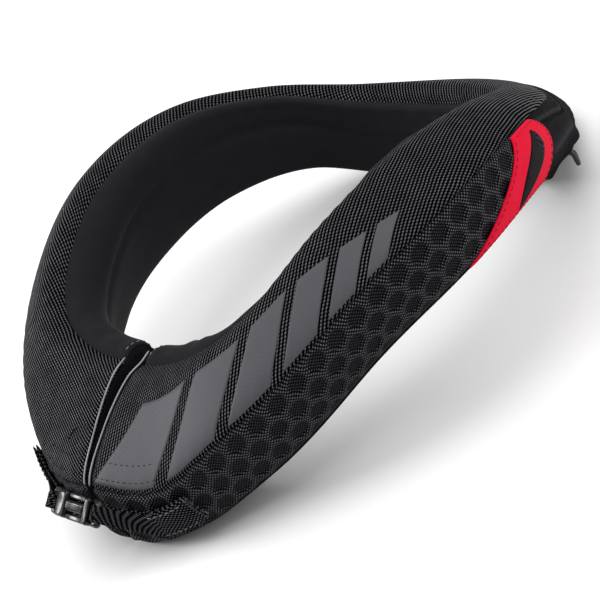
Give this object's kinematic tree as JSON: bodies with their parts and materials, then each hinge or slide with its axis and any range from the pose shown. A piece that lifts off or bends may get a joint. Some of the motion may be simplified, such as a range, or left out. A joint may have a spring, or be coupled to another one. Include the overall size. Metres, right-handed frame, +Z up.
{
  "type": "protective neck collar",
  "caption": "Padded neck collar for riders: a black foam ring in woven cloth and spacer mesh, split in front, with a side-release buckle and a red side label.",
  "frame": {"origin": "on the floor under the middle of the collar's box", "axes": "+Z up, -Y to the front split and buckle, +X to the wearer's left"},
  "size_m": [0.224, 0.2986, 0.0891],
  "materials": {
    "foam": "closed-cell foam",
    "stretch_lining": "smooth stretch knit",
    "woven_cloth": "coarse basket weave",
    "spacer_mesh": "spacer mesh with sunk cells",
    "plain_cloth": "plain matt cloth",
    "piping": "thin smooth cord",
    "label_cloth": "fine woven label, sewn on",
    "buckle_plastic": "gloss black"
  },
  "bodies": {
    "root": {"foam_core": "foam", "neck_lining": "stretch_lining", "top_panel": "woven_cloth", "side_panel_left": "spacer_mesh", "side_panel_right": "spacer_mesh", "back_panel": "plain_cloth", "base_panel": "plain_cloth", "end_cap_left": "plain_cloth", "end_cap_right": "plain_cloth", "piping_left": "piping", "piping_right": "piping", "side_label": "label_cloth", "tab_left": "woven_cloth", "tab_right": "woven_cloth", "tail_loop": "piping", "buckle_housing": "buckle_plastic", "buckle_latch": "buckle_plastic"}
  },
  "joints": []
}
